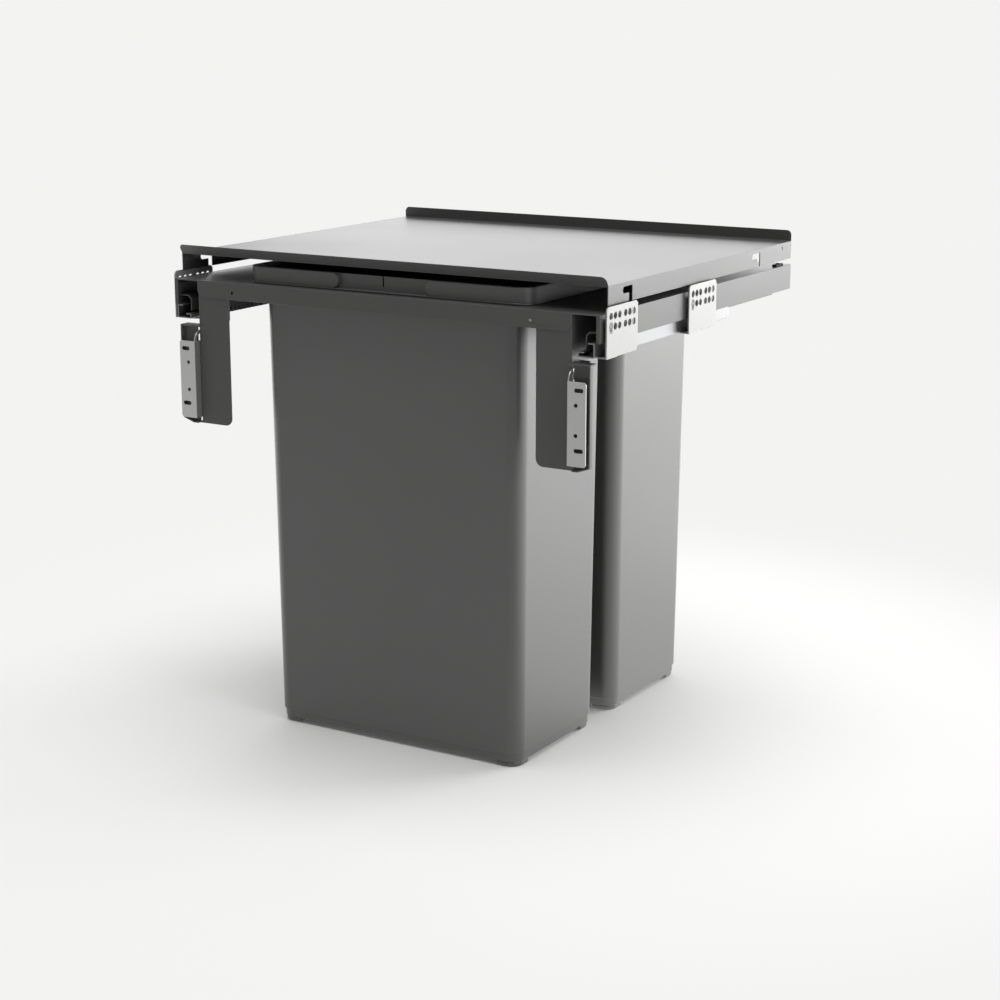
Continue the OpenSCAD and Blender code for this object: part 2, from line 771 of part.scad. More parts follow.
// Rim ring: the collar that clamps the bag, with a finger recess front and back
module rim_ring() {
    recess_r = ring_h / 2;
    slit_w = 1.6;
    slit_h = 11.6;
    color("#4a4b4d") translate([0, 0, ring_z]) difference() {
        linear_extrude(ring_h) difference() {
            rounded_rect(collar_w, collar_d, collar_r);
            rounded_rect(collar_w - 2 * ring_wall, collar_d - 2 * ring_wall, collar_r - ring_wall);
        }
        for (turn = [0, 180]) rotate(turn) {
            translate([0, -collar_d / 2 + ring_recess_d, ring_h / 2]) rotate([90, 0, 0])
                linear_extrude(ring_recess_d + 1) difference() {
                    square([ring_recess_w + 2 * recess_r, ring_h + 2], center = true);
                    for (x = [-1, 1]) translate([x * (ring_recess_w / 2 + recess_r), 0])
                        circle(recess_r);
                }
            translate([-slit_w / 2, -collar_d / 2 - 1, ring_h - slit_h])
                cube([slit_w, ring_wall + 2, slit_h + 1]);
        }
    }
}

module rim_ring_front() { translate([0, first_bin_y, 0]) rim_ring(); }
module rim_ring_rear() { translate([0, first_bin_y + bin_pitch, 0]) rim_ring(); }

// Lid: folded sheet with upstands and side flanges, hung on four cabinet pins
module lid_profile() {
    w = lid_t / cos(atan(upstand_lean / upstand_front_h));
    polygon([[0, -lid_t], [lid_d, -lid_t], [lid_d, upstand_rear_h], [lid_d - lid_t, upstand_rear_h],
             [lid_d - lid_t, 0], [w, 0], [w - upstand_lean, upstand_front_h],
             [-upstand_lean, upstand_front_h], [0, 0]]);
}

// Waste outside the round corner of an upstand of height h
module upstand_corner(y, len, h) {
    along_y(y, len) translate([half_lid - upstand_r, h - upstand_r]) difference() {
        square(upstand_r + 1);
        circle(upstand_r);
    }
}

module hanging_slot() {
    leg_z = -slot_drop - slot_w;
    translate([slot_w / 2, leg_z + slot_w / 2]) {
        circle(d = slot_w);
        translate([0, -slot_w / 2]) square([slot_run - slot_w / 2, slot_w]);
    }
    translate([slot_run - slot_w, -lid_flange_h - 1])
        square([slot_w, lid_flange_h + 1 + leg_z + slot_w]);
}

module lid() {
    color("#3f4042") difference() {
        translate([0, lid_y, lid_z]) union() {
            along_x(-half_lid, 2 * half_lid) lid_profile();
            for (s = [left, right]) side(s)
                translate([half_lid - lid_t, 0, -lid_flange_h]) cube([lid_t, lid_d, lid_flange_h]);
        }
        translate([0, lid_y, lid_z]) for (s = [left, right]) side(s) {
            upstand_corner(-upstand_lean - 1, upstand_lean + lid_t + 2, upstand_front_h);
            upstand_corner(lid_d - lid_t - 1, lid_t + 2, upstand_rear_h);
        }
        for (s = [left, right], y = [slot_front_y, slot_front_y + slot_spacing]) side(s)
            translate([0, lid_y + y, lid_z]) along_x(half_lid - lid_t - 1, lid_t + 2)
                hanging_slot();
        for (s = [left, right]) side(s)
            translate([half_lid - lid_t - 1, lid_y + lid_d - lid_hole_inset[0],
                       lid_z - lid_hole_inset[1]]) rotate([0, 90, 0])
                cylinder(h = lid_t + 2, d = lid_hole_d);
    }
}

bracket_left_front();
bracket_left_rear();
bracket_right_front();
bracket_right_rear();
cam_screws();
fixed_rail_left();
fixed_rail_right();
rail_rivets();
ribbed_strip_left();
ribbed_strip_right();
middle_rail_left();
middle_rail_right();
lower_cage_left();
lower_cage_right();
lower_balls_left();
lower_balls_right();
upper_cage_left();
upper_cage_right();
upper_balls_left();
upper_balls_right();
drawer_rail_left();
drawer_rail_right();
frame_tray();
top_buffers();
door_bracket_left();
door_bracket_right();
door_plate_left();
door_plate_right();
pivot_rivets();
tilt_screws();
bin_front();
bin_rear();
rim_ring_front();
rim_ring_rear();
lid();
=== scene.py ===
# %% [markdown]
# # A pull-out bin unit, dressed piece by piece
#
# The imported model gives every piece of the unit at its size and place. This lesson gives
# each of them a finish like the real object's, rounds the edges that the plain solids
# leave square, and lights the unit like a studio photograph. All lengths are in metres,
# +Z is up, and the cabinet door is at -Y.

# %% Load the frame
import json
from math import radians

import bpy
import bmesh
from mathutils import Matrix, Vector

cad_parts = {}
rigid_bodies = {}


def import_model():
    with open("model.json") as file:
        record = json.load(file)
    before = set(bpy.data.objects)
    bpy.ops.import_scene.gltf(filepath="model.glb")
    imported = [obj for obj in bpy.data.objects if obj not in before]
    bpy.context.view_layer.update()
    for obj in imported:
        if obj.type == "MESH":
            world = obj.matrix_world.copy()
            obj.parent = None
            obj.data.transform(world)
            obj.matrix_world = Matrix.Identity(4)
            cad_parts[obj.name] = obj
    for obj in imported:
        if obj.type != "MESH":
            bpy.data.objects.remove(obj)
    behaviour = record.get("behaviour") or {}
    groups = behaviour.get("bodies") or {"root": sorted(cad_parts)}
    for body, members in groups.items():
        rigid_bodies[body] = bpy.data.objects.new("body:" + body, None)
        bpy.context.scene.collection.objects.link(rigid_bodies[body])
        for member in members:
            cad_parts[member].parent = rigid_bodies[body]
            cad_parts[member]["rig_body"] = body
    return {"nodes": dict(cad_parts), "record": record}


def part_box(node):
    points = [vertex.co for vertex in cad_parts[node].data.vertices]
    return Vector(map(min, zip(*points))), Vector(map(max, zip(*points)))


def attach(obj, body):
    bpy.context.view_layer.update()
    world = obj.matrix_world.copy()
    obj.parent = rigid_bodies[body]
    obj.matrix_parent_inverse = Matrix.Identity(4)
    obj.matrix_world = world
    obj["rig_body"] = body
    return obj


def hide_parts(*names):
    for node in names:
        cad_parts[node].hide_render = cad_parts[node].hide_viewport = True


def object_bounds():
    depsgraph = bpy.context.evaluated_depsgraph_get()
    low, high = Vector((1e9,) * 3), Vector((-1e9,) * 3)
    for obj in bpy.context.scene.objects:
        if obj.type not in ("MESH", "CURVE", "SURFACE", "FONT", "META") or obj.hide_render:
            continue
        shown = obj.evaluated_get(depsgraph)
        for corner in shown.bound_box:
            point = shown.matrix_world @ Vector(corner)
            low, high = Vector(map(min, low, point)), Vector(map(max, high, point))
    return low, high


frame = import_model()
cad_low, cad_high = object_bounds()
bpy.ops.object.select_all(action="DESELECT")
MM = 0.001

# %% [markdown]
# ## Camera
#
# The photograph looks at the unit from 31 degrees to its right and a little from above,
# with a long lens from about two and a half metres. A long lens keeps the edges of the
# boxy unit almost parallel. The place was worked out from the unit's straight edges, so
# it is written down as a position and an angle, and nothing aims it at run time. The
# photograph itself is a level view that was shifted upwards. A plain tilted camera comes
# close to it, and stays right when the same camera is moved to another side.

# %% Camera
CAMERA_PLACE = (1.2879, -2.1175, 0.8469)
CAMERA_PITCH = 13.62
CAMERA_TURN = 31.0
LENS = 75.6
SENSOR_WIDTH = 36.0
VIEW_DISTANCE = 50.0

camera_data = bpy.data.cameras.new("camera")
camera_data.lens = LENS
camera_data.sensor_width = SENSOR_WIDTH
camera_data.clip_end = VIEW_DISTANCE
camera = bpy.data.objects.new("camera", camera_data)
camera.location = CAMERA_PLACE
camera.rotation_euler = (radians(90.0 - CAMERA_PITCH), 0.0, radians(CAMERA_TURN))
bpy.context.scene.collection.objects.link(camera)
bpy.context.scene.camera = camera
bpy.context.scene.view_settings.view_transform = "Standard"
print("camera", LENS, "mm")

# %% [markdown]
# ## Shared effects
#
# Three things happen to almost every surface of the unit: its colour is never quite even,
# its gloss changes over a few centimetres, and it has a fine skin of its own, such as the
# orange peel of powder coat or the grain of moulded plastic. Each of the effects is a node
# group, so that a material only states how much of it there is.

# %% Node group helpers


def new_group(name, inputs, outputs):
    """Make a shader node group with float or colour inputs and named outputs."""
    group = bpy.data.node_groups.new(name, "ShaderNodeTree")
    for label, kind, value in inputs:
        socket = group.interface.new_socket(name=label, in_out="INPUT", socket_type=kind)
        socket.default_value = value
    for label, kind in outputs:
        group.interface.new_socket(name=label, in_out="OUTPUT", socket_type=kind)
    start = group.nodes.new("NodeGroupInput")
    end = group.nodes.new("NodeGroupOutput")
    return group, start, end


def math_node(tree, operation, first, second):
    """Add a math node whose inputs are sockets or plain numbers."""
    node = tree.nodes.new("ShaderNodeMath")
    node.operation = operation
    for index, value in enumerate((first, second)):
        if isinstance(value, (int, float)):
            node.inputs[index].default_value = value
        else:
            tree.links.new(value, node.inputs[index])
    return node.outputs[0]


def noise_node(tree, vector, scale, detail=3.0, roughness=0.5):
    """Add a noise texture that reads the given coordinates."""
    node = tree.nodes.new("ShaderNodeTexNoise")
    node.inputs["Detail"].default_value = detail
    node.inputs["Roughness"].default_value = roughness
    tree.links.new(vector, node.inputs["Vector"])
    if isinstance(scale, (int, float)):
        node.inputs["Scale"].default_value = scale
    else:
        tree.links.new(scale, node.inputs["Scale"])
    return node.outputs["Fac"]


FLOAT = "NodeSocketFloat"
COLOR = "NodeSocketColor"
VECTOR = "NodeSocketVector"

# %% [markdown]
# The cloudiness group mixes a broad noise into the colour and the roughness. The amounts
# are small: on a real coat they are only seen where light grazes it.

# %% Cloudiness group
cloud, c_in, c_out = new_group(
    "cloudiness",
    [("Vector", VECTOR, (0, 0, 0)), ("Color", COLOR, (0.5, 0.5, 0.5, 1)),
     ("Color Amount", FLOAT, 0.06), ("Roughness", FLOAT, 0.5), ("Roughness Amount", FLOAT, 0.05),
     ("Scale", FLOAT, 9.0)],
    [("Color", COLOR), ("Roughness", FLOAT)])
broad = noise_node(cloud, c_in.outputs["Vector"], c_in.outputs["Scale"], detail=4.0, roughness=0.55)
centred = math_node(cloud, "SUBTRACT", broad, 0.5)
color_change = math_node(cloud, "MULTIPLY", centred, c_in.outputs["Color Amount"])
tone = math_node(cloud, "ADD", color_change, 1.0)
scaled = cloud.nodes.new("ShaderNodeVectorMath")
scaled.operation = "SCALE"
cloud.links.new(c_in.outputs["Color"], scaled.inputs[0])
cloud.links.new(tone, scaled.inputs["Scale"])
cloud.links.new(scaled.outputs[0], c_out.inputs["Color"])
gloss_change = math_node(cloud, "MULTIPLY", centred, c_in.outputs["Roughness Amount"])
gloss = math_node(cloud, "ADD", c_in.outputs["Roughness"], gloss_change)
cloud.links.new(gloss, c_out.inputs["Roughness"])
print("group", cloud.name)

# %% [markdown]
# The peel group is the fine bump of a sprayed or moulded skin: a noise whose size is given
# in bumps per metre. Two sizes are added, because real peel is never one size.

# %% Peel group
FINE_SHARE = 0.65
WIDE_SHARE = 0.35
WIDE_SCALE = 0.31

peel, p_in, p_out = new_group(
    "peel", [("Vector", VECTOR, (0, 0, 0)), ("Scale", FLOAT, 900.0)], [("Height", FLOAT)])
fine = noise_node(peel, p_in.outputs["Vector"], p_in.outputs["Scale"], detail=2.0, roughness=0.5)
wide_scale = math_node(peel, "MULTIPLY", p_in.outputs["Scale"], WIDE_SCALE)
wide = noise_node(peel, p_in.outputs["Vector"], wide_scale)
skin_height = math_node(peel, "ADD", math_node(peel, "MULTIPLY", fine, FINE_SHARE),
                        math_node(peel, "MULTIPLY", wide, WIDE_SHARE))
peel.links.new(skin_height, p_out.inputs["Height"])
print("group", peel.name)

# %% [markdown]
# The wear and highlight group finds the edges of a sheet, where it lightens the colour in
# patches: partly wear, and partly a painted highlight along the edge. The Pointiness of the mesh
# needs many vertices, which sheet metal doesn't have, so the group uses a bevel node instead:
# where the bevelled normal leaves the true normal, there is an edge within the given radius.

# %% Wear and highlight group
WEAR_AND_HIGHLIGHT_PATCH_SCALE = 60.0
WEAR_AND_HIGHLIGHT_GAIN = 5.0

# Lightens sheet edges in patches: partly wear, partly a painted edge highlight.
wear_and_highlight, w_in, w_out = new_group(
    "edge_wear_and_highlight", [("Vector", VECTOR, (0, 0, 0)), ("Radius", FLOAT, 0.0008), ("Amount", FLOAT, 0.5)],
    [("Mask", FLOAT)])
bevel = wear_and_highlight.nodes.new("ShaderNodeBevel")
bevel.samples = 4
wear_and_highlight.links.new(w_in.outputs["Radius"], bevel.inputs["Radius"])
geometry = wear_and_highlight.nodes.new("ShaderNodeNewGeometry")
facing = wear_and_highlight.nodes.new("ShaderNodeVectorMath")
facing.operation = "DOT_PRODUCT"
wear_and_highlight.links.new(bevel.outputs[0], facing.inputs[0])
wear_and_highlight.links.new(geometry.outputs["Normal"], facing.inputs[1])
edge = math_node(wear_and_highlight, "SUBTRACT", 1.0, facing.outputs["Value"])
patchy = noise_node(wear_and_highlight, w_in.outputs["Vector"], WEAR_AND_HIGHLIGHT_PATCH_SCALE, detail=4.0, roughness=0.6)
strength = math_node(wear_and_highlight, "MULTIPLY", math_node(wear_and_highlight, "MULTIPLY", edge, WEAR_AND_HIGHLIGHT_GAIN), patchy)
wear_and_highlight_share = math_node(wear_and_highlight, "MULTIPLY", strength, w_in.outputs["Amount"])
limited = math_node(wear_and_highlight, "MINIMUM", wear_and_highlight_share, 1.0)
wear_and_highlight.links.new(limited, w_out.inputs["Mask"])
print("group", wear_and_highlight.name)

# %% [markdown]
# ## Finishes
#
# Every finish is one Principled BSDF that the groups feed. The function below wires the
# parts that all finishes share: object coordinates, cloudiness, peel as bump, and lighter
# edges that are partly wear and partly painted highlight. Values that are the same all over go
# straight onto the shader.

# %% Finish builder
BUMP_DISTANCE = 0.2 * MM


def finish(name, color, roughness, metallic=0.0, specular=0.5, color_amount=0.1, rough_amount=0.06,
           cloud_scale=9.0, peel_scale=900.0, peel_height=0.15, wear_and_highlight_amount=0.0,
           wear_and_highlight_color=(0.4, 0.4, 0.4), stretch=(1, 1, 1)):
    """Make a material in which the shared groups feed one Principled BSDF."""
    material = bpy.data.materials.new(name)
    material.use_nodes = True
    tree = material.node_tree
    shader = tree.nodes["Principled BSDF"]
    shader.inputs["Metallic"].default_value = metallic
    shader.inputs["Specular IOR Level"].default_value = specular
    coordinates = tree.nodes.new("ShaderNodeTexCoord")
    mapping = tree.nodes.new("ShaderNodeMapping")
    mapping.inputs["Scale"].default_value = stretch
    tree.links.new(coordinates.outputs["Object"], mapping.inputs["Vector"])
    place = mapping.outputs["Vector"]

    clouds = tree.nodes.new("ShaderNodeGroup")
    clouds.node_tree = cloud
    tree.links.new(place, clouds.inputs["Vector"])
    clouds.inputs["Color"].default_value = (*color, 1.0)
    clouds.inputs["Color Amount"].default_value = color_amount
    clouds.inputs["Roughness"].default_value = roughness
    clouds.inputs["Roughness Amount"].default_value = rough_amount
    clouds.inputs["Scale"].default_value = cloud_scale
    tree.links.new(clouds.outputs["Roughness"], shader.inputs["Roughness"])
    base = clouds.outputs["Color"]

    # Lighter edges in patches: partly wear, partly a painted edge highlight.
    if wear_and_highlight_amount > 0.0:
        wear_and_highlight_node = tree.nodes.new("ShaderNodeGroup")
        wear_and_highlight_node.node_tree = wear_and_highlight
        tree.links.new(coordinates.outputs["Object"], wear_and_highlight_node.inputs["Vector"])
        wear_and_highlight_node.inputs["Amount"].default_value = wear_and_highlight_amount
        mix = tree.nodes.new("ShaderNodeMix")
        mix.data_type = "RGBA"
        tree.links.new(wear_and_highlight_node.outputs["Mask"], mix.inputs["Factor"])
        tree.links.new(base, mix.inputs["A"])
        mix.inputs["B"].default_value = (*wear_and_highlight_color, 1.0)
        base = mix.outputs["Result"]
    tree.links.new(base, shader.inputs["Base Color"])

    skin = tree.nodes.new("ShaderNodeGroup")
    skin.node_tree = peel
    tree.links.new(place, skin.inputs["Vector"])
    skin.inputs["Scale"].default_value = peel_scale
    bump = tree.nodes.new("ShaderNodeBump")
    bump.inputs["Strength"].default_value = peel_height
    bump.inputs["Distance"].default_value = BUMP_DISTANCE
    tree.links.new(skin.outputs["Height"], bump.inputs["Height"])
    tree.links.new(bump.outputs["Normal"], shader.inputs["Normal"])
    print("finish", name)
    return material


# %% [markdown]
# The frame, the lid and the door brackets are powder coated in a satin charcoal. The lid's copy
# of the coat is darker, as painted shade that tones down the lid's stronger light. The bins and the
# rings are moulded in a plastic of nearly the same tone, with a finer grain and a stronger sheen.
# The coat's edges are lightened in patches, partly as wear and partly as a painted edge highlight,
# and the plastic's aren't.

# %% Charcoal finishes
# Edge colour of the coat: partly wear, partly a painted edge highlight.
COAT_WEAR_AND_HIGHLIGHT = (0.20, 0.20, 0.20)
powder_coat = finish("powder_coat", (0.074, 0.074, 0.073), 0.42, specular=0.4, color_amount=0.10,
                     peel_scale=1500.0, peel_height=0.25, wear_and_highlight_amount=0.25, wear_and_highlight_color=COAT_WEAR_AND_HIGHLIGHT)
# The lid's copy of the powder coat is darker: painted shade that tones down the lid's stronger light.
lid_coat = finish("lid_coat", (0.056, 0.056, 0.055), 0.42, specular=0.5, color_amount=0.08,
                  cloud_scale=5.0, peel_scale=1500.0, peel_height=0.25, wear_and_highlight_amount=0.25,
                  wear_and_highlight_color=COAT_WEAR_AND_HIGHLIGHT)
bin_plastic = finish("bin_plastic", (0.056, 0.055, 0.054), 0.40, specular=1.0, color_amount=0.07,
                     cloud_scale=4.0, peel_scale=2600.0, peel_height=0.30)
ring_plastic = finish("ring_plastic", (0.060, 0.059, 0.058), 0.46, specular=0.7, color_amount=0.08,
                      peel_scale=2600.0, peel_height=0.30)

# %% [markdown]
# The brackets are plated and have a pale satin look, the cams in them are cast, the rails
# are rolled with drawing marks along them, and the door plates are brushed from top to
# foot. A stretched noise gives such marks: many bumps across the piece, and few along it.
# The cams' zinc is darker than the brackets', as painted shade for the dark groove around each cam.

# %% Metal finishes
ALONG_Y = (1.0, 0.02, 1.0)
ALONG_Z = (1.0, 1.0, 0.02)
pale_zinc = finish("pale_zinc", (0.32, 0.32, 0.317), 0.42, metallic=0.15, color_amount=0.06,
                   cloud_scale=22.0, peel_scale=700.0, peel_height=0.08, wear_and_highlight_amount=0.2,
                   wear_and_highlight_color=(0.55, 0.55, 0.55))
rail_zinc = finish("rail_zinc", (0.20, 0.203, 0.205), 0.36, metallic=0.85, color_amount=0.10,
                   rough_amount=0.15, cloud_scale=30.0, peel_scale=900.0, peel_height=0.12,
                   stretch=ALONG_Y)
door_steel = finish("door_steel", (0.50, 0.50, 0.49), 0.36, metallic=0.85, color_amount=0.08,
                    rough_amount=0.12, cloud_scale=40.0, peel_scale=1400.0, peel_height=0.15,
                    wear_and_highlight_amount=0.5, wear_and_highlight_color=(0.75, 0.75, 0.75), stretch=ALONG_Z)
# The cams' zinc is darker than the brackets': painted shade for the groove around each cam.
cam_zinc_painted_shade = finish("cam_zinc_painted_shade", (0.17, 0.17, 0.168), 0.45, metallic=0.15, color_amount=0.12,
                   cloud_scale=60.0, peel_scale=1200.0, peel_height=0.3)
rivet_steel = finish("rivet_steel", (0.60, 0.60, 0.61), 0.30, metallic=0.9, color_amount=0.12,
                     cloud_scale=80.0, peel_scale=1500.0, peel_height=0.2)
black_steel = finish("black_steel", (0.06, 0.06, 0.062), 0.38, metallic=0.7, color_amount=0.2,
                     cloud_scale=90.0, peel_scale=1500.0, peel_height=0.2, wear_and_highlight_amount=0.5,
                     wear_and_highlight_color=(0.3, 0.3, 0.3))
ball_steel = finish("ball_steel", (0.78, 0.78, 0.80), 0.12, metallic=1.0, color_amount=0.04,
                    rough_amount=0.04, cloud_scale=120.0, peel_scale=2000.0, peel_height=0.02)

# %% [markdown]
# The small plastic and rubber parts are black, and differ by gloss: slick acetal cages,
# duller nylon strips with a moulded grain, and matte rubber buffers.

# %% Plastic and rubber finishes
cage_acetal = finish("cage_acetal", (0.020, 0.020, 0.021), 0.35, color_amount=0.15,
                     cloud_scale=40.0, peel_scale=1800.0, peel_height=0.08)
strip_nylon = finish("strip_nylon", (0.045, 0.045, 0.046), 0.55, color_amount=0.15,
                     cloud_scale=30.0, peel_scale=2200.0, peel_height=0.3, wear_and_highlight_amount=0.3,
                     wear_and_highlight_color=(0.12, 0.12, 0.12))
buffer_rubber = finish("buffer_rubber", (0.015, 0.015, 0.015), 0.80, specular=0.3,
                       color_amount=0.2, cloud_scale=60.0, peel_scale=1600.0, peel_height=0.5)

# %% [markdown]
# ## Modelling helpers
#
# The steps below work as they would by hand: pick faces or edges, then run an operator on
# them. Picking is done in code, by where a face or an edge lies, so that it is the same
# each time. An operator works on all that is selected, so each helper starts from nothing.

# %% Picking faces and edges
SHARP_ANGLE = 35.0


def only(piece):
    """Select one object and make it the active one."""
    bpy.ops.object.select_all(action="DESELECT")
    piece.select_set(True)
    bpy.context.view_layer.objects.active = piece


def pick(piece, faces=None, edges=None):
    """In edit mode, select the faces or the edges that pass a test."""
    bpy.ops.mesh.select_all(action="DESELECT")
    mesh = bmesh.from_edit_mesh(piece.data)
    mesh.select_mode = {"FACE"} if faces else {"EDGE"}
    for part in mesh.faces if faces else mesh.edges:
        if (faces or edges)(part):
            part.select_set(True)
    mesh.select_flush_mode()
    bmesh.update_edit_mesh(piece.data)


def span(edge, axis):
    """Give how far an edge reaches along an axis."""
    return abs(edge.verts[0].co[axis] - edge.verts[1].co[axis])


def round_edges(piece, width, segments):
    """Round every sharp edge, and keep the flat faces flat in the shading."""
    only(piece)
    modifier = piece.modifiers.new("rounding", "BEVEL")
    modifier.width = width
    modifier.segments = segments
    modifier.limit_method = "ANGLE"
    modifier.angle_limit = radians(SHARP_ANGLE)
    modifier.use_clamp_overlap = False
    modifier.miter_outer = "MITER_ARC"
    bpy.ops.object.modifier_apply(modifier=modifier.name)
    bpy.ops.object.shade_smooth_by_angle(angle=radians(SHARP_ANGLE))
    weigh = piece.modifiers.new("flat_faces_first", "WEIGHTED_NORMAL")
    weigh.keep_sharp = True
    bpy.ops.object.modifier_apply(modifier=weigh.name)


# %% [markdown]
# ## The bins
#
# A bin is one injection-moulded shell: a base band that is set back a little, walls that
# widen towards the top so that the mould opens, a flange that hangs on the frame, and a
# hollow inside. It could be a solid with a second one cut out of it, but one column of
# faces extruded again and again gives the same shell with clean rings all the way: up the
# outside, over the flange and down the inside, with the four round corners made first.

# %% Sizes of a bin
BIN_TOP = (341 * MM, 191 * MM)
BIN_FOOT = (331 * MM, 181 * MM)
BAND_STEP = 1.4 * MM
BAND_HEIGHT = 9 * MM
FOOT_HEIGHT = 6 * MM
FOOT_SIZE = 27.0 * MM
FOOT_CORNER = 15.0 * MM
FOOT_SETBACK = 2.9 * MM
BIN_CORNER = 19 * MM
BIN_WALL = 2.5 * MM
RIM_THICKNESS = 2.2 * MM
BIN_ROUNDING = 0.9 * MM
CORNER_SEGMENTS = 14
print("bin narrows by", round((BIN_TOP[0] - BIN_FOOT[0]) / MM), "mm")

# %% Growing the shell ring by ring
SAME_HEIGHT = 1e-5
LEVEL_NORMAL = 0.99
PLAIN_FACE_CORNERS = 8


def grow(piece, middle, z, size, new_size, new_z):
    """Extrude the top face, resize it about its middle and move it to a new height."""
    pick(piece, faces=lambda face: abs(face.calc_center_median().z - z) < SAME_HEIGHT
         and abs(face.normal.z) > LEVEL_NORMAL and len(face.verts) > PLAIN_FACE_CORNERS)
    bpy.ops.mesh.extrude_region_move(TRANSFORM_OT_translate={"value": (0, 0, new_z - z)})
    ratio = (new_size[0] / size[0], new_size[1] / size[1], 1.0)
    bpy.ops.transform.resize(value=ratio, center_override=(*middle, new_z))


def shrunk(size, wall):
    """Give a width and depth that are smaller by a wall on each side."""
    return (size[0] - 2 * wall, size[1] - 2 * wall)


# %% One bin


def model_bin(node):
    """Model one bin where its node stands, and let it stand for the node."""
    low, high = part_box(node)
    middle = ((low[0] + high[0]) / 2, (low[1] + high[1]) / 2)
    collar = (high[0] - low[0], high[1] - low[1])
    under_rim = high[2] - RIM_THICKNESS
    band = shrunk(BIN_FOOT, BAND_STEP)
    band_top = FOOT_HEIGHT + BAND_HEIGHT
    bpy.ops.object.select_all(action="DESELECT")
    bpy.ops.mesh.primitive_cube_add(size=1.0, location=(*middle, FOOT_HEIGHT + BAND_HEIGHT / 2),
                                    scale=(*band, BAND_HEIGHT))
    piece = bpy.context.object
    piece.name = node + "_shell"
    bpy.ops.object.transform_apply(location=True, rotation=True, scale=True)
    bpy.ops.object.mode_set(mode="EDIT")
    pick(piece, edges=lambda edge: span(edge, 2) > BAND_HEIGHT / 2)
    bpy.ops.mesh.bevel(offset=BIN_CORNER - BAND_STEP, segments=CORNER_SEGMENTS, affect="EDGES")
    mouth = shrunk(BIN_TOP, BIN_WALL)
    floor_size = shrunk(band, BIN_WALL)
    rings = [(BIN_FOOT, band_top), (BIN_TOP, under_rim), (collar, under_rim), (collar, high[2]),
             (mouth, high[2]), (floor_size, FOOT_HEIGHT + BIN_WALL)]
    size, z = band, band_top
    for new_size, new_z in rings:
        grow(piece, middle, z, size, new_size, new_z)
        size, z = new_size, new_z
    bpy.ops.object.mode_set(mode="OBJECT")
    round_edges(piece, BIN_ROUNDING, 3)
    feet = model_feet(middle, band)
    only(piece)
    feet.select_set(True)
    bpy.ops.object.join()
    piece.data.materials.clear()
    piece.data.materials.append(bin_plastic)
    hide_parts(node)
    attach(piece, frame["nodes"][node]["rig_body"])
    print(piece.name, len(piece.data.polygons), "faces")


# %% [markdown]
# The feet are four low pads, one in each corner, whose outer corner follows the bin. One
# is modelled and turned into four by mirroring it about the middle of the bin.

# %% Feet
FOOT_SINK = 0.5 * MM
FOOT_ROUNDING = 1.8 * MM


def model_feet(middle, band):
    """Model four corner feet as one object."""
    corner = (band[0] / 2 - FOOT_SETBACK + BAND_STEP, band[1] / 2 - FOOT_SETBACK + BAND_STEP)
    height = FOOT_HEIGHT + FOOT_SINK
    place = (corner[0] - FOOT_SIZE / 2, corner[1] - FOOT_SIZE / 2, height / 2)
    bpy.ops.object.select_all(action="DESELECT")
    bpy.ops.mesh.primitive_cube_add(size=1.0, location=place, scale=(FOOT_SIZE, FOOT_SIZE, height))
    feet = bpy.context.object
    bpy.ops.object.transform_apply(location=True, rotation=True, scale=True)
    bpy.ops.object.mode_set(mode="EDIT")
    pick(feet, edges=lambda edge: all(v.co.x > place[0] and v.co.y > place[1] for v in edge.verts))
    bpy.ops.mesh.bevel(offset=FOOT_CORNER, segments=CORNER_SEGMENTS, affect="EDGES")
    bpy.ops.object.mode_set(mode="OBJECT")
    round_edges(feet, FOOT_ROUNDING, 3)
    mirror = feet.modifiers.new("four", "MIRROR")
    mirror.use_axis = (True, True, False)
    bpy.ops.object.modifier_apply(modifier=mirror.name)
    feet.location = (*middle, 0.0)
    bpy.ops.object.transform_apply(location=True, rotation=False, scale=False)
    return feet


# %% Both bins
for bin_node in ("bin_front", "bin_rear"):
    model_bin(bin_node)

# %% [markdown]
# ## The rim rings
#
# A rim ring lies on the bin's flange and clamps the bag. It is a plain collar with round
# corners, thinned to a finger recess at the front and the back, where a short slit takes
# the bag's corner. Cuts like these are easiest as solids taken away from a solid, so a
# block is rounded, its opening, recesses and slits are cut with the Boolean modifier, and
# only then are the edges rounded, so that the rounding follows every cut.

# %% Cutting one solid with another


def rounded_block(name, low, high, radius, upright=True):
    """Add a box whose upright edges, or edges along Y, are round."""
    size = [b - a for a, b in zip(low, high)]
    centre = [(a + b) / 2 for a, b in zip(low, high)]
    bpy.ops.object.select_all(action="DESELECT")
    bpy.ops.mesh.primitive_cube_add(size=1.0, location=centre, scale=size)
    block = bpy.context.object
    block.name = name
    bpy.ops.object.transform_apply(location=True, rotation=True, scale=True)
    if radius > 0.0:
        axis = 2 if upright else 1
        bpy.ops.object.mode_set(mode="EDIT")
        pick(block, edges=lambda edge: span(edge, axis) > size[axis] / 2)
        bpy.ops.mesh.bevel(offset=radius, segments=CORNER_SEGMENTS, affect="EDGES")
        bpy.ops.object.mode_set(mode="OBJECT")
    return block


def cut(piece, tool):
    """Take a tool solid away from a piece, and delete the tool."""
    only(piece)
    modifier = piece.modifiers.new("cut", "BOOLEAN")
    modifier.operation = "DIFFERENCE"
    modifier.solver = "EXACT"
    modifier.object = tool
    bpy.ops.object.modifier_apply(modifier=modifier.name)
    bpy.data.objects.remove(tool, do_unlink=True)


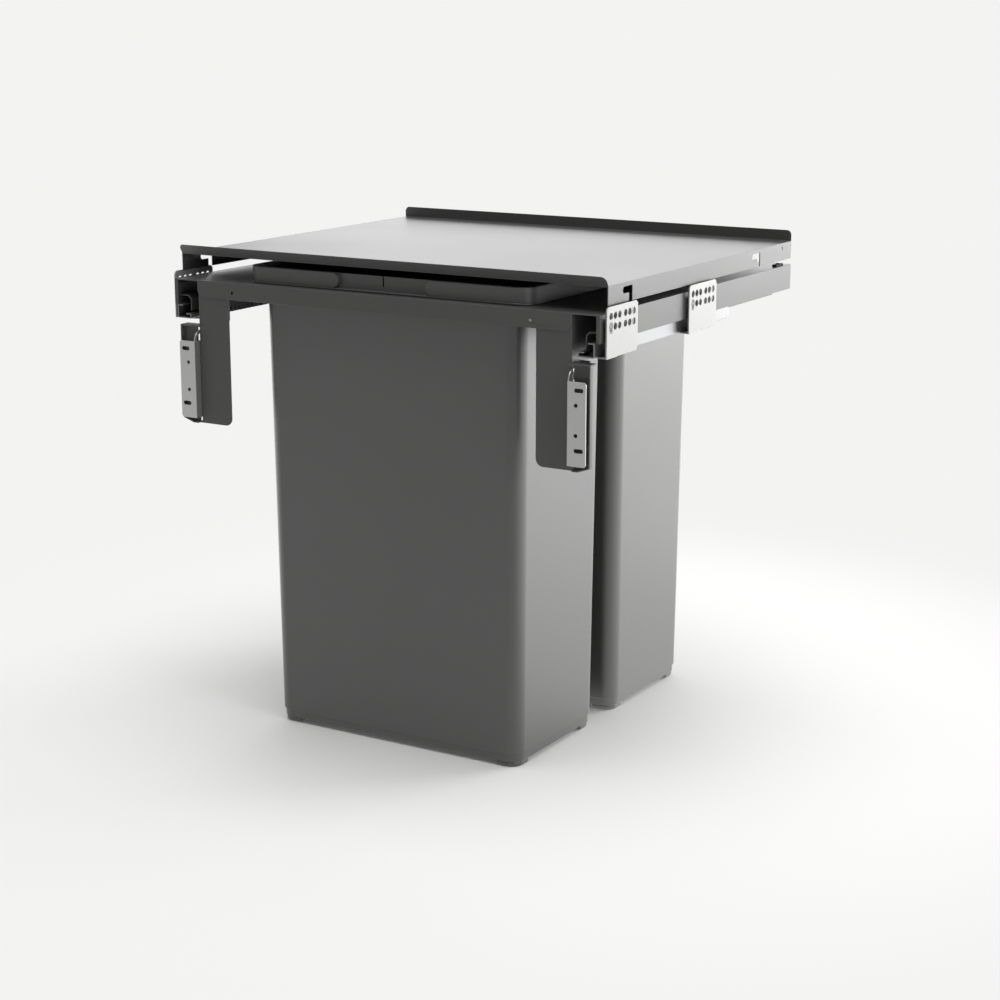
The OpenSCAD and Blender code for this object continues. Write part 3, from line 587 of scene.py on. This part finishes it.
# %% Sizes of a ring
RING_WALL = 7.0 * MM
RING_CORNER = 22 * MM
RECESS_WIDTH = 114 * MM
RECESS_DEPTH = 4.5 * MM
SLIT_WIDTH = 1.8 * MM
SLIT_DEPTH = 11.6 * MM
RING_ROUNDING = 0.45 * MM
OVER = 2 * MM
NEARLY_ROUND = 0.999
print("ring wall", round(RING_WALL / MM, 1), "mm, recess", round(RECESS_DEPTH / MM, 1), "mm deep")

# %% Recess and slit


def cut_recess(piece, face, into, middle_x, low, high):
    """Cut a finger recess with round ends into the front or the back of a ring."""
    height = high[2] - low[2]
    half = RECESS_WIDTH / 2 + height / 2
    near, far = sorted((face + into * RECESS_DEPTH, face - into * RECESS_DEPTH))
    recess = rounded_block("recess", (middle_x - half, near, low[2] - OVER),
                           (middle_x + half, far, high[2] + OVER), 0.0)
    for side in (-1, 1):
        end = middle_x + side * half
        cut(recess, rounded_block("recess_end", (end - height / 2, near - OVER, low[2]),
                                  (end + height / 2, far + OVER, high[2]),
                                  height / 2 * NEARLY_ROUND, upright=False))
    cut(piece, recess)


def cut_slit(piece, face, into, middle_x, high):
    """Cut the short slit through a ring's wall, down from its top."""
    near, far = sorted((face - into * RECESS_DEPTH, face + into * (RING_WALL + OVER)))
    cut(piece, rounded_block("slit", (middle_x - SLIT_WIDTH / 2, near, high[2] - SLIT_DEPTH),
                             (middle_x + SLIT_WIDTH / 2, far, high[2] + OVER), 0.0))


# %% One ring


def model_ring(node):
    """Model one rim ring where its node stands."""
    low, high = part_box(node)
    middle_x = (low[0] + high[0]) / 2
    piece = rounded_block(node + "_collar", low, high, RING_CORNER)
    cut(piece, rounded_block("opening", (low[0] + RING_WALL, low[1] + RING_WALL, low[2] - OVER),
                             (high[0] - RING_WALL, high[1] - RING_WALL, high[2] + OVER),
                             RING_CORNER - RING_WALL))
    for face, into in ((low[1], 1.0), (high[1], -1.0)):
        cut_recess(piece, face, into, middle_x, low, high)
        cut_slit(piece, face, into, middle_x, high)
    round_edges(piece, RING_ROUNDING, 2)
    piece.data.materials.clear()
    piece.data.materials.append(ring_plastic)
    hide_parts(node)
    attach(piece, frame["nodes"][node]["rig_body"])
    print(piece.name, len(piece.data.polygons), "faces")


# %% Both rings
for ring_node in ("rim_ring_front", "rim_ring_rear"):
    model_ring(ring_node)

# %% [markdown]
# ## Folded and moulded edges
#
# A folded sheet has no knife edges: each fold has a radius, and each cut edge is blunted by
# its coat. They catch the light along every rim of the real unit. The solids carry the
# folds as square corners, so a copy of each mesh is merged, its flat faces are joined up,
# and a bevel rounds what is still sharp. One radius has to suit all edges of a piece, also
# the cut edges of its thin sheet, so it is smaller than a real fold's.

# %% Radii in millimetres
ROUNDING = {
    "frame_tray": 0.6, "lid": 0.5,
    "door_bracket_left": 0.7, "door_bracket_right": 0.7,
    "door_plate_left": 0.35, "door_plate_right": 0.35,
    "bracket_left_front": 0.4, "bracket_left_rear": 0.4,
    "bracket_right_front": 0.4, "bracket_right_rear": 0.4,
    "fixed_rail_left": 0.35, "fixed_rail_right": 0.35,
    "drawer_rail_left": 0.35, "drawer_rail_right": 0.35,
    "middle_rail_left": 0.35, "middle_rail_right": 0.35,
    "cam_screws": 0.3, "tilt_screws": 0.3, "pivot_rivets": 0.4, "rail_rivets": 0.3,
    "top_buffers": 0.5,
}
MERGE_DISTANCE = 0.002 * MM
FLAT_ANGLE = 1.0
print("radii from", min(ROUNDING.values()), "to", max(ROUNDING.values()), "mm")

# %% Rounded copies
SLOT_OF = {part["node"]: part["material_slot"] for part in frame["record"]["subparts"]}


def round_copy(node, width):
    """Model a rounded copy of a node, and let it stand for the node."""
    source = frame["nodes"][node]
    piece = bpy.data.objects.new(node + "_rounded", source.data.copy())
    bpy.context.scene.collection.objects.link(piece)
    only(piece)
    bpy.ops.object.mode_set(mode="EDIT")
    bpy.ops.mesh.select_all(action="SELECT")
    bpy.ops.mesh.remove_doubles(threshold=MERGE_DISTANCE)
    bpy.ops.mesh.dissolve_limited(angle_limit=radians(FLAT_ANGLE))
    bpy.ops.object.mode_set(mode="OBJECT")
    round_edges(piece, width * MM, 2)
    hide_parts(node)
    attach(piece, source["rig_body"])
    return piece


rounded = {node: round_copy(node, width) for node, width in ROUNDING.items()}
face_count = sum(len(piece.data.polygons) for piece in rounded.values())
print("rounded", len(rounded), "pieces,", face_count, "faces")

# %% [markdown]
# ## Putting the finishes on
#
# The record names a finish for each node. The rounded copies take the finish of the node
# that they stand for. A node without a copy, such as a row of balls, keeps the mesh that
# the frame gave it, and only its material changes.

# %% Assign the finishes
FINISH_OF = {
    "charcoal_coat": powder_coat, "lid_coat": lid_coat, "bracket_coat": pale_zinc,
    "rail_zinc": rail_zinc, "cam_zinc": cam_zinc_painted_shade, "rivet_steel": rivet_steel,
    "door_steel": door_steel, "screw_black": black_steel, "ball_steel": ball_steel,
    "bin_plastic": bin_plastic, "ring_plastic": ring_plastic, "strip_plastic": strip_nylon,
    "cage_plastic": cage_acetal, "buffer_rubber": buffer_rubber,
}
for name, piece in [*frame["nodes"].items(), *rounded.items()]:
    piece.data.materials.clear()
    piece.data.materials.append(FINISH_OF[SLOT_OF[name]])
print("dressed", len(frame["nodes"]), "nodes")

# %% [markdown]
# ## Studio
#
# The unit stands on a pale seamless floor. Its right-hand faces and its lid are bright in
# the photograph, and the faces towards the door are dark: that studio is dark behind the
# camera and bright behind the unit. The strength below gives this to the surroundings and
# to the far floor alike. The camera sees one even near-white. Reflections see the same
# tone and soft light a weaker one, and both fall off towards the front. The strength
# depends only on a direction and on the kind of ray.

# %% Studio strength
BACKDROP = 0.895
AMBIENT = 0.47
FRONT_SHARE = 0.29
DARK_UNTIL = -0.9
BRIGHT_FROM = 0.5


def studio_strength(tree, direction, path):
    """Give the surroundings' strength for a direction and a kind of ray."""
    unit = tree.nodes.new("ShaderNodeVectorMath")
    unit.operation = "NORMALIZE"
    tree.links.new(direction, unit.inputs[0])
    parts = tree.nodes.new("ShaderNodeSeparateXYZ")
    tree.links.new(unit.outputs[0], parts.inputs[0])
    ramp = tree.nodes.new("ShaderNodeMapRange")
    ramp.interpolation_type = "SMOOTHSTEP"
    ramp.inputs["From Min"].default_value = DARK_UNTIL
    ramp.inputs["From Max"].default_value = BRIGHT_FROM
    ramp.inputs["To Min"].default_value = FRONT_SHARE
    tree.links.new(parts.outputs["Y"], ramp.inputs["Value"])
    mirror_like = math_node(tree, "MAXIMUM", path.outputs["Is Glossy Ray"],
                            path.outputs["Is Transmission Ray"])
    mirror_extra = math_node(tree, "MULTIPLY", mirror_like, BACKDROP - AMBIENT)
    base = math_node(tree, "ADD", mirror_extra, AMBIENT)
    graded = math_node(tree, "MULTIPLY", base, ramp.outputs["Result"])
    camera_part = math_node(tree, "MULTIPLY", path.outputs["Is Camera Ray"], BACKDROP)
    other = math_node(tree, "SUBTRACT", 1.0, path.outputs["Is Camera Ray"])
    return math_node(tree, "ADD", camera_part, math_node(tree, "MULTIPLY", graded, other))


print("backdrop", BACKDROP, "ambient", AMBIENT)

# %% [markdown]
# The floor is one large plane that the feet stand on, in a matte pale paint that takes the
# unit's shadow. A curved backdrop would do as well, but the plane can fade into the
# surroundings, so that no bend shows from any side.

# %% Floor
FLOOR_SIZE = 14.0
PAINT_TONE = (0.86, 0.86, 0.855, 1.0)
STUDIO_WHITE = (1.0, 1.0, 0.995, 1.0)

bpy.ops.object.select_all(action="DESELECT")
bpy.ops.mesh.primitive_plane_add(size=FLOOR_SIZE, location=(0.0, 0.0, cad_low[2]))
floor = bpy.context.object
floor.name = "studio_floor"
floor_paint = bpy.data.materials.new("floor_paint")
floor_paint.use_nodes = True
paint_tree = floor_paint.node_tree
paint = paint_tree.nodes["Principled BSDF"]
paint.inputs["Base Color"].default_value = PAINT_TONE
paint.inputs["Roughness"].default_value = 0.9
paint.inputs["Specular IOR Level"].default_value = 0.1
floor.data.materials.append(floor_paint)
print("floor", FLOOR_SIZE, "m wide")

# %% [markdown]
# Far from the unit the floor turns into the same even pale tone as the surroundings, for
# rays from the camera and in reflections. Near the unit it is mostly plain paint, so it
# keeps the unit's shadow, which the pale tone softens a little. In reflections the pale
# tone is stronger than the camera sees it and reaches under the unit too, because the bins'
# satin sides in the photograph mirror a bright floor.

# %% Floor fade
FADE_START = 0.25
FADE_END = 1.0
NEAR_GLOW = 0.05
NEAR_MIRROR = 0.55

spot = paint_tree.nodes.new("ShaderNodeTexCoord")
reach = paint_tree.nodes.new("ShaderNodeVectorMath")
reach.operation = "LENGTH"
paint_tree.links.new(spot.outputs["Object"], reach.inputs[0])
fade = paint_tree.nodes.new("ShaderNodeMapRange")
fade.interpolation_type = "SMOOTHSTEP"
fade.inputs["From Min"].default_value = FADE_START
fade.inputs["From Max"].default_value = FADE_END
fade.inputs["To Min"].default_value = NEAR_GLOW
paint_tree.links.new(reach.outputs["Value"], fade.inputs["Value"])
floor_ray = paint_tree.nodes.new("ShaderNodeLightPath")
seen_straight = math_node(paint_tree, "MULTIPLY", fade.outputs["Result"],
                          floor_ray.outputs["Is Camera Ray"])
mirror_fade = math_node(paint_tree, "MAXIMUM", fade.outputs["Result"], NEAR_MIRROR)
seen_mirrored = math_node(paint_tree, "MULTIPLY", mirror_fade, floor_ray.outputs["Is Glossy Ray"])
print("floor fades from", FADE_START, "to", FADE_END, "m")

# %% Floor glow
FLOOR_MIRROR = 2.9

glow = paint_tree.nodes.new("ShaderNodeEmission")
glow.inputs["Color"].default_value = STUDIO_WHITE
gain_above_one = math_node(paint_tree, "MULTIPLY", floor_ray.outputs["Is Glossy Ray"], FLOOR_MIRROR - 1.0)
mirror_gain = math_node(paint_tree, "ADD", gain_above_one, 1.0)
plain_strength = studio_strength(paint_tree, spot.outputs["Object"], floor_ray)
glow_strength = math_node(paint_tree, "MULTIPLY", plain_strength, mirror_gain)
paint_tree.links.new(glow_strength, glow.inputs["Strength"])
blend_in = paint_tree.nodes.new("ShaderNodeMixShader")
glow_share = math_node(paint_tree, "ADD", seen_straight, seen_mirrored)
paint_tree.links.new(glow_share, blend_in.inputs[0])
paint_tree.links.new(paint.outputs[0], blend_in.inputs[1])
paint_tree.links.new(glow.outputs[0], blend_in.inputs[2])
paint_tree.links.new(blend_in.outputs[0], paint_tree.nodes["Material Output"].inputs["Surface"])
print("floor in reflections", FLOOR_MIRROR, "times as bright")

# %% [markdown]
# The surroundings take the same strength by the direction of each ray that misses
# everything. An image of a studio would need a file, and a plain colour would light the
# front of the unit as much as its back.

# %% World
world = bpy.data.worlds.new("studio")
bpy.context.scene.world = world
world.use_nodes = True
air = world.node_tree
air.nodes.clear()
ray = air.nodes.new("ShaderNodeLightPath")
sky_place = air.nodes.new("ShaderNodeTexCoord")
around = air.nodes.new("ShaderNodeBackground")
around.inputs["Color"].default_value = STUDIO_WHITE
sky_strength = studio_strength(air, sky_place.outputs["Generated"], ray)
air.links.new(sky_strength, around.inputs["Strength"])
sky = air.nodes.new("ShaderNodeOutputWorld")
air.links.new(around.outputs[0], sky.inputs["Surface"])
print("world", world.name)

# %% [markdown]
# Four soft panels do the rest: one behind on the right for the right-hand faces, a small
# one in front on the right for the brackets and the edges, one overhead for the lid, and
# one behind on the left, which the lid mirrors. Panels give the broad, soft-edged
# reflections of the photograph, where small lamps would leave hard spots.

# %% Light panels
MIDDLE = (0.0, 0.0, 0.30)


def panel(name, place, width, height, power):
    """Add a rectangular light panel that faces the middle of the unit."""
    data = bpy.data.lights.new(name, "AREA")
    data.shape = "RECTANGLE"
    data.size = width
    data.size_y = height
    data.energy = power
    lamp = bpy.data.objects.new(name, data)
    lamp.location = place
    lamp.visible_camera = False
    direction = Vector(MIDDLE) - Vector(place)
    lamp.rotation_euler = direction.to_track_quat("-Z", "Y").to_euler()
    bpy.context.scene.collection.objects.link(lamp)
    print("panel", name, power, "W")


panel("right_panel", place=(1.9, 2.7, 0.9), width=2.0, height=1.5, power=84.0)
panel("key_panel", place=(2.4, -0.7, 0.9), width=0.8, height=0.8, power=13.0)
panel("top_panel", place=(0.0, -0.3, 3.0), width=3.0, height=2.6, power=62.0)
panel("back_panel", place=(-0.9, 3.0, 1.2), width=3.2, height=1.6, power=42.0)
